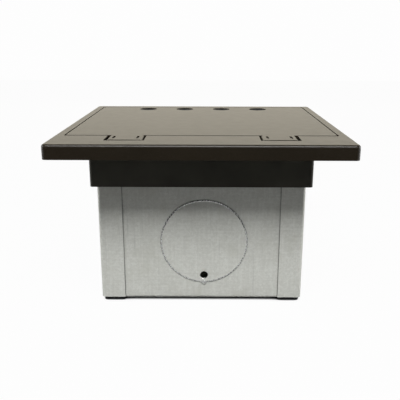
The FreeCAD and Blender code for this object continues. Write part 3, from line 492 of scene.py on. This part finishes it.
def knockout_disc(middle, across, out, radius):
    """Punched disc with a sloping rolled rim, round its off-centre pry hole.

    Each loop is a circle P(s, a) = c(s) + r(s) (cos a across + sin a up) - d(s) out, whose
    centre c and radius r go from the pry hole's to the disc's and back while d gives the depth.
    """
    pry, hole = -(radius - 8.25 * MM), 4.1 * MM
    sheet, hole_edge, rim_width, slope, dish = 1.5 * MM, 0.25 * MM, 1.5 * MM, 0.42 * MM, 0.06 * MM
    quarter = np.linspace(0.0, math.pi / 2, 5)
    face = np.linspace(0.0, 1.0, 14)[1:-1]
    inner, outer = hole + hole_edge, radius - rim_width
    rows = [(pry, hole, sheet), (pry, hole, sheet / 2)]
    rows += [(pry, inner - hole_edge * math.cos(t), hole_edge * (1 - math.sin(t)))
             for t in quarter]
    rows += [(pry * (1 - s), inner + (outer - inner) * s, dish * math.sin(math.pi * s))
             for s in face]
    rows += [(0.0, outer + rim_width * s, slope * s) for s in (0.08, 0.4, 0.8)]
    rows += [(0.0, radius - 0.1 * MM, 0.5 * MM), (0.0, radius, 0.75 * MM)]
    rows += [(0.0, radius, sheet)]
    rows += [(pry * s, radius + (hole - radius) * s, sheet) for s in face]
    offset, size, depth = np.array(rows).T
    angle = np.linspace(0.0, 2.0 * math.pi, 128, endpoint=False)[:, None]
    ring = np.cos(angle) * across + np.sin(angle) * UP
    centre = middle + offset[:, None] * UP - depth[:, None] * out
    return centre[:, None, :] + size[:, None, None] * ring


def knockout_tie(middle, across, out, radius):
    """Bruised metal tie at the disc's lower rim: a blunt lump with a punched dimple.

    P(s, a) = c + s (w cos a across + h sin a up) + z(s) out, an oval of half sizes w and h with
    z(s) = t (1 - s^4)^(1/2) - d exp(-(s/0.38)^2), closed by a flat back.
    """
    thick, dimple, width, height = 1.7 * MM, 0.55 * MM, 2.8 * MM, 2.6 * MM
    share = np.concatenate([np.linspace(0.0, 1.0, 18), [1.0, 0.0]])
    dome = np.sqrt(np.clip(1.0 - share ** 4, 0.0, 1.0))
    rise = thick * dome - dimple * np.exp(-(share / 0.38) ** 2)
    flat_back = slice(-2, None)
    rise[flat_back] = -0.2 * MM
    angle = np.linspace(0.0, 2.0 * math.pi, 48, endpoint=False)[:, None]
    oval = width * np.cos(angle) * across + height * np.sin(angle) * UP
    root = middle - radius * UP - (thick - TIE_PROUD) * out
    return root + share[:, None, None] * oval + rise[:, None, None] * out


def make_knockouts():
    """The four punched discs, one on each wall, each with its tie and a sloping rim in a bright
    finish that is partly a painted highlight.
    """
    rim = burnished_rim_and_highlight()
    walls = {"front": -DEEP, "back": DEEP, "left": -ACROSS, "right": ACROSS}
    for wall, out in walls.items():
        node = "knockout_" + wall
        low, high = np.array(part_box(node))
        across = np.abs(np.cross(UP, out))
        radius = (high - low) @ across / 2
        # The tie reaches below and outside the disc, so the disc is placed from the box's top.
        middle = (low + high) / 2
        middle += (high[2] - radius - middle[2]) * UP
        middle += (max(high @ out, low @ out) - TIE_PROUD - middle @ out) * out
        piece = make_piece("punched_" + node, [(knockout_disc(middle, across, out, radius), True),
                                               (knockout_tie(middle, across, out, radius), False)],
                           "galvanised", node)
        # Bright rim finish on the sloping faces: partly burnished zinc, partly a painted highlight.
        piece.data.materials.append(rim)
        facing = np.empty(3 * len(piece.data.polygons))
        piece.data.polygons.foreach_get("normal", facing)
        tilt = facing.reshape(-1, 3) @ out
        sloping = (tilt > 0.2) & (tilt < 0.99)
        piece.data.polygons.foreach_set("material_index", sloping.astype(np.int32))


def make_feet():
    """Rubber corner pads with rounded edges and a shallow mould line round the middle."""
    corner, edge, line_depth, line_half = 3.6 * MM, 0.7 * MM, 0.2 * MM, 0.15 * MM
    shells = []
    for low, high in solids_of("corner_feet"):
        middle = (high - low)[0] / 2
        z0, z1 = low[2], high[2]
        line = (z0 + z1) / 2
        section = round_off([(middle, z0), (0.0, z0), (0.0, line - line_half), (line_depth, line),
                             (0.0, line + line_half), (0.0, z1), (middle, z1)], edge)
        shells.append((rectangle_loops(low, high, corner, section), False))
    make_piece("moulded_corner_feet", shells, "black_rubber", "corner_feet")


def make_grommets():
    """Rubber bushes of the cable outlets: a flange below, a shallow groove round the bore."""
    shells = []
    for low, high in solids_of("cable_grommets"):
        flange, height = (high[0] - low[0]) / 2, high[2] - low[2]
        bush, bore, step = flange - 1.35 * MM, flange - 3.55 * MM, 1.8 * MM
        loop = [(bore + 0.4 * MM, 0.0), (flange, 0.0), (flange, step), (bush, step), (bush, height),
                (bore, height), (bore, height * 0.55), (bore + 0.25 * MM, height * 0.45),
                (bore, height * 0.35), (bore, 0.0), (bore + 0.4 * MM, 0.0)]
        profile = round_off(loop, 0.35 * MM)[:-1]
        shells.append((turned(profile, bottom_middle(low, high), UP, 64), True))
    make_piece("rolled_cable_grommets", shells, "black_rubber", "cable_grommets")


def make_gasket():
    """Rubber seal under the lid: a flat base with two round ribs, carried round the seat."""
    low, high = np.array(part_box("lid_gasket"))
    z0, z1, width = low[2], high[2], 6.0 * MM
    across = np.linspace(0.0, 1.0, 25)
    ribs = 0.45 * (z1 - z0) * np.abs(np.sin(2.0 * math.pi * across)) + 0.55 * (z1 - z0)
    top = np.column_stack([across * width, z0 + ribs])
    section = np.concatenate([[(0.0, z0)], top, [(width, z0)]])
    make_piece("ribbed_lid_gasket", [(rectangle_loops(low, high, 2.0 * MM, section), True)],
               "black_rubber", "lid_gasket")


def make_stiffeners():
    """Hat channels folded from one strip, with a round at every fold.

    The strip's middle line m(i) and its normal n(i) give loops m + e n + w deep, where e and w
    go round the strip's own oblong section, and both ends close on the middle line.
    """
    sheet, fold = 1.5 * MM, 1.6 * MM
    for node in ("lid_stiffener_left", "lid_stiffener_right"):
        low, high = np.array(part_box(node))
        centre, foot = (low[0] + high[0]) / 2, (high[0] - low[0]) / 2 - 6.0 * MM - sheet / 2
        top, bottom, end = high[2] - sheet / 2, low[2] + sheet / 2, high[0] - centre
        line = refined(round_off([(-end, top), (-foot, top), (-foot, bottom), (foot, bottom),
                                  (foot, top), (end, top)], fold), 2.0 * MM)
        along = np.gradient(line, axis=0)
        along /= np.linalg.norm(along, axis=1)[:, None]
        normal = np.column_stack([-along[:, 1], along[:, 0]])
        thick = np.concatenate([[0.0], np.full(len(line), 1.0), [0.0]])[:, None] * sheet / 2
        line = np.concatenate([line[:1], line, line[-1:]])
        normal = np.concatenate([normal[:1], normal, normal[-1:]])
        near, far, nick = low[1], high[1], 0.3 * MM
        oblong = [(1.0, near + nick), (1.0, far - nick), (0.6, far), (-0.6, far),
                  (-1.0, far - nick), (-1.0, near + nick), (-0.6, near), (0.6, near)]
        loops = np.array([[(centre + x + e * t * nx, y, z + e * t * nz) for e, y in oblong]
                          for (x, z), (nx, nz), (t,) in zip(line, normal, thick)])
        make_piece("folded_" + node, [(loops, False)], "bronze_paint", node)


# ------------------------------------------------------------------ fasteners
def pan_head(low, high, out, shank, head_height, depth, reach, width, arms):
    """Pan head screw that fills a solid's box, its head towards out, with a pressed recess.

    The profile goes up the shank, out under the head, round its shoulder and over a low dome.
    """
    length = abs((high - low) @ out)
    # Two of the box's three sizes are the head's width, so the middle one is too.
    radius = np.median(high - low) / 2
    foot = (low + high) / 2 - out * length / 2
    seat = length - head_height
    corners = [(0.0, 0.0), (shank, 0.0), (shank, seat), (radius, seat),
               (radius, seat + 0.55 * head_height), (0.55 * radius, length), (0.0, length)]
    profile = refined(round_off(corners, 0.35 * radius), 0.12 * radius)
    loops = turned(profile, foot, out, 72)
    return press_slots(loops, foot, out, depth, reach, width, arms), False


def inwards(low, high, middle):
    """Unit step along the level axis on which a solid lies farthest out, back to the middle."""
    away = ((low + high) / 2 - middle)[:2]
    axis = int(np.argmax(np.abs(away)))
    return -np.sign(away[axis]) * np.eye(3)[axis]


def make_pan_screws():
    """Cross recessed screws of the collar and the brackets, and slotted ones of the devices."""
    box_low, box_high = np.array(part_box("collar"))
    middle = (box_low + box_high) / 2
    collar = [pan_head(low, high, inwards(low, high, middle), shank=1.95 * MM, head_height=2.0 * MM,
                       depth=1.2 * MM, reach=1.9 * MM, width=0.8 * MM, arms=2)
              for low, high in solids_of("collar_screws")]
    make_piece("cross_collar_screws", collar, "zinc_screw", "collar_screws")
    bracket = [pan_head(low, high, UP, shank=1.95 * MM, head_height=2.2 * MM,
                        depth=1.2 * MM, reach=2.0 * MM, width=0.85 * MM, arms=2)
               for low, high in solids_of("bracket_screws")]
    make_piece("cross_bracket_screws", bracket, "zinc_screw", "bracket_screws")
    device = [pan_head(low, high, -np.sign(low[0] + high[0]) * ACROSS, shank=1.7 * MM,
                       head_height=1.5 * MM, depth=0.9 * MM, reach=3.0 * MM, width=0.9 * MM, arms=1)
              for low, high in solids_of("device_screws")]
    make_piece("slotted_device_screws", device, "zinc_screw", "device_screws")


def make_levelling_screws():
    """Slotted cheese head screws with a rolled thread.

    On the threaded length r = R - t |2 frac(h/p - a/2pi) - 1|, a ridge that climbs one pitch p
    in each turn.
    """
    pitch, thread, head_height, shank = 1.0 * MM, 0.45 * MM, 3.0 * MM, 3.0 * MM
    columns = 36
    angle = np.linspace(0.0, 1.0, columns, endpoint=False)
    shells = []
    for low, high in solids_of("levelling_screws"):
        length, head = high[2] - low[2], (high[0] - low[0]) / 2
        seat = length - head_height
        plain = seat - 6.0 * MM
        lower = refined(round_off([(0.0, 0.0), (shank - 0.5 * MM, 0.0), (shank, 0.8 * MM),
                                   (shank, plain)], 0.2 * MM), pitch / 5)
        upper = refined(round_off([(shank, plain), (shank, seat), (head, seat), (head, length),
                                   (0.0, length)], 0.5 * MM), 0.5 * MM)
        place = bottom_middle(low, high)
        loops = turned(np.concatenate([lower, upper[1:]]), place, UP, columns)
        height = loops[..., 2] - low[2]
        wave = np.abs(2.0 * ((height / pitch - angle) % 1.0) - 1.0)
        cut = thread * wave * soft_step(plain - height, pitch) * soft_step(height - 0.3 * MM, pitch)
        outward = loops - place
        outward[..., 2] = 0.0
        radius = np.maximum(np.linalg.norm(outward, axis=2), 1e-9)
        loops = loops - outward * np.where(radius > 0.5 * shank, cut / radius, 0.0)[..., None]
        shells.append((press_slots(loops, place, UP, depth=1.5 * MM, reach=1.2 * head,
                                   width=1.4 * MM, arms=1), False))
    make_piece("threaded_levelling_screws", shells, "zinc_screw", "levelling_screws")


def make_earth_screw():
    """Hexagon head earth screw with a chamfered top and a slot across it.

    The head's radius is R cos(30) / cos(b), where b is the angle from the nearest flat's middle.
    """
    low, high = np.array(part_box("earth_screw"))
    place, columns = bottom_middle(low, high), 72
    length, head, head_height, shank = high[2] - low[2], (high[0] - low[0]) / 2, 3.4 * MM, 2.5 * MM
    seat = length - head_height
    corners = [(0.0, 0.0), (shank, 0.0), (shank, seat), (head, seat), (head, length - 0.5 * MM),
               (0.86 * head, length), (0.0, length)]
    profile = refined(round_off(corners, 0.25 * MM), 0.4 * MM)
    loops = turned(profile, place, UP, columns)
    bearing = np.linspace(0.0, 2.0 * math.pi, columns, endpoint=False)
    flat = (bearing % (math.pi / 3)) - math.pi / 6
    on_head = soft_step(profile[:, 1] - seat + 0.05 * MM, 0.05 * MM)[:, None]
    shrink = 1.0 - on_head * (1.0 - math.cos(math.pi / 6) / np.cos(flat))
    loops[..., :2] = place[:2] + (loops[..., :2] - place[:2]) * shrink[..., None]
    loops = press_slots(loops, place, UP, depth=1.3 * MM, reach=1.2 * head, width=1.2 * MM, arms=1)
    make_piece("hexagon_earth_screw", [(loops, False)], "earth_green", "earth_screw")


def make_hinge_pins():
    """Drawn steel pins with their ends turned to a chamfer."""
    chamfer = 0.4 * MM
    for node in ("hinge_pin_left", "hinge_pin_right"):
        low, high = np.array(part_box(node))
        radius, length = (high[2] - low[2]) / 2, high[0] - low[0]
        place = np.array([low[0], (low[1] + high[1]) / 2, (low[2] + high[2]) / 2])
        profile = refined(round_off([(0.0, 0.0), (radius - chamfer, 0.0), (radius, chamfer),
                                     (radius, length - chamfer), (radius - chamfer, length),
                                     (0.0, length)], 0.15 * MM), 3.0 * MM)
        make_piece("drawn_" + node, [(turned(profile, place, ACROSS, 32), False)],
                   "bare_steel", node)


# --------------------------------------------------------- stage and lights
def seen_directly(tree):
    """1 for rays from the camera, 0 for light and reflections."""
    return tree.nodes.new("ShaderNodeLightPath").outputs["Is Camera Ray"]


def make_floor():
    """White sheet under the object: it looks white from the camera, and a contact shadow is painted
    into that white by ambient occlusion.

    Its near edge lies just outside the camera's view, so that little light comes off it on to
    the object's front.
    """
    reach, front = 3.0, -0.36
    mesh = bpy.data.meshes.new("paper_sweep")
    mesh.from_pydata([(-reach, front, 0), (reach, front, 0), (reach, reach, 0), (-reach, reach, 0)],
                     [], [(0, 1, 2, 3)])
    floor = bpy.data.objects.new("paper_sweep", mesh)
    bpy.context.scene.collection.objects.link(floor)
    material, tree, shader = new_finish("white_paper", Base_Color=(0.2, 0.2, 0.2, 1.0),
                                        Roughness=0.9)
    blend = tree.nodes.new("ShaderNodeMixShader")
    share = combine(tree, "MULTIPLY", seen_directly(tree), 0.97)
    # Painted shadow: the white that the camera sees fades to dark where the floor is hidden under
    # and next to the object.
    painted_contact_shadow = tree.nodes.new("ShaderNodeAmbientOcclusion")
    painted_contact_shadow.inputs["Distance"].default_value = 0.02
    paper = tree.nodes.new("ShaderNodeEmission")
    paper.inputs["Color"].default_value = (1.0, 1.0, 1.0, 1.0)
    tree.links.new(spread(tree, painted_contact_shadow.outputs["AO"], 0.10, 0.50), paper.inputs["Strength"])
    tree.links.new(share, blend.inputs["Fac"])
    tree.links.new(shader.outputs["BSDF"], blend.inputs[1])
    tree.links.new(paper.outputs["Emission"], blend.inputs[2])
    tree.links.new(blend.outputs["Shader"], tree.nodes["Material Output"].inputs["Surface"])
    floor.data.materials.append(material)


def make_light_tent():
    """World like a light tent: bright side walls, a dim back and a dark open front.

    The camera itself sees plain white.
    """
    world = bpy.data.worlds.new("light_tent")
    bpy.context.scene.world = world
    world.use_nodes = True
    tree = world.node_tree
    place = tree.nodes.new("ShaderNodeTexCoord")
    split = tree.nodes.new("ShaderNodeSeparateXYZ")
    tree.links.new(place.outputs["Generated"], split.inputs["Vector"])
    back = spread(tree, split.outputs["Y"], -0.2, 0.5, 0.01, 0.10)
    sides = spread(tree, combine(tree, "ABSOLUTE", split.outputs["X"], 0.0), 0.65, 0.95, 0.0, 0.55)
    level = combine(tree, "ADD", back, sides)
    wall = tree.nodes["Background"]
    wall.inputs["Color"].default_value = (1.0, 1.0, 1.0, 1.0)
    tree.links.new(level, wall.inputs["Strength"])
    white = tree.nodes.new("ShaderNodeBackground")
    white.inputs["Color"].default_value = (0.985, 0.985, 0.985, 1.0)
    blend = tree.nodes.new("ShaderNodeMixShader")
    tree.links.new(seen_directly(tree), blend.inputs["Fac"])
    tree.links.new(wall.outputs["Background"], blend.inputs[1])
    tree.links.new(white.outputs["Background"], blend.inputs[2])
    tree.links.new(blend.outputs["Shader"], tree.nodes["World Output"].inputs["Surface"])


def add_softbox(name, place, target, size, power, colour=(1.0, 1.0, 1.0)):
    """Rectangular lamp at a place, turned to face a target."""
    lamp = bpy.data.lights.new(name, "AREA")
    lamp.color = colour
    lamp.shape = "RECTANGLE"
    lamp.size, lamp.size_y = size
    lamp.energy = power
    softbox = bpy.data.objects.new(name, lamp)
    softbox.location = place
    softbox.rotation_euler = (Vector(target) - Vector(place)).to_track_quat("-Z", "Y").to_euler()
    bpy.context.scene.collection.objects.link(softbox)


def add_lights():
    """High key and low fill in front, glow behind for the top's sheen, a box to each side."""
    middle = (0.0, 0.0, 0.12)
    warm = (1.0, 0.93, 0.765)
    add_softbox("key", (0.0, -0.8525, 1.264), (0.0, -0.09, 0.09), size=(1.2, 0.42), power=45.0)
    add_softbox("back_wall", (0.0, 1.6, 0.95), middle, size=(2.4, 1.0), power=6.2, colour=warm)
    add_softbox("back_low", (0.0, 1.8, 0.50), (0.0, 0.0, 0.18), size=(2.6, 0.5), power=6.2,
                colour=warm)
    add_softbox("front_fill", (0.0, -1.5, 0.40), middle, size=(1.6, 0.4), power=1.2)
    add_softbox("left_strip", (-1.1, 0.12, 0.30), middle, size=(0.5, 0.8), power=8.0)
    add_softbox("right_strip", (1.1, 0.12, 0.30), middle, size=(0.5, 0.8), power=10.0)


# -------------------------------------------------------------------- camera
def add_camera():
    """Camera a little above the lid, facing the hinge side and tilted down on it."""
    place = (0.006021, -0.657725, 0.27729)
    yaw, pitch, roll = math.radians(-0.1643), math.radians(16.1668), math.radians(-0.1427)
    ahead = Vector((math.sin(yaw) * math.cos(pitch), math.cos(yaw) * math.cos(pitch),
                    -math.sin(pitch)))
    right = Vector((math.cos(yaw), -math.sin(yaw), 0.0))
    down = ahead.cross(right)
    turned_right = math.cos(roll) * right + math.sin(roll) * down
    turned_down = -math.sin(roll) * right + math.cos(roll) * down
    lens = bpy.data.cameras.new("camera")
    lens.sensor_width = 36.0
    lens.lens = 51.621
    lens.shift_x = -0.01425
    lens.shift_y = 0.00125
    camera = bpy.data.objects.new("camera", lens)
    axes = Matrix((turned_right, -turned_down, -ahead)).transposed().to_4x4()
    camera.matrix_world = Matrix.Translation(place) @ axes
    bpy.context.scene.collection.objects.link(camera)
    bpy.context.scene.camera = camera
    bpy.context.scene.view_settings.view_transform = "Standard"


finishes = make_finishes()
dress_frame(finishes)
make_knockouts()
make_feet()
make_grommets()
make_gasket()
make_stiffeners()
make_pan_screws()
make_levelling_screws()
make_earth_screw()
make_hinge_pins()
make_floor()
make_light_tent()
add_lights()
add_camera()
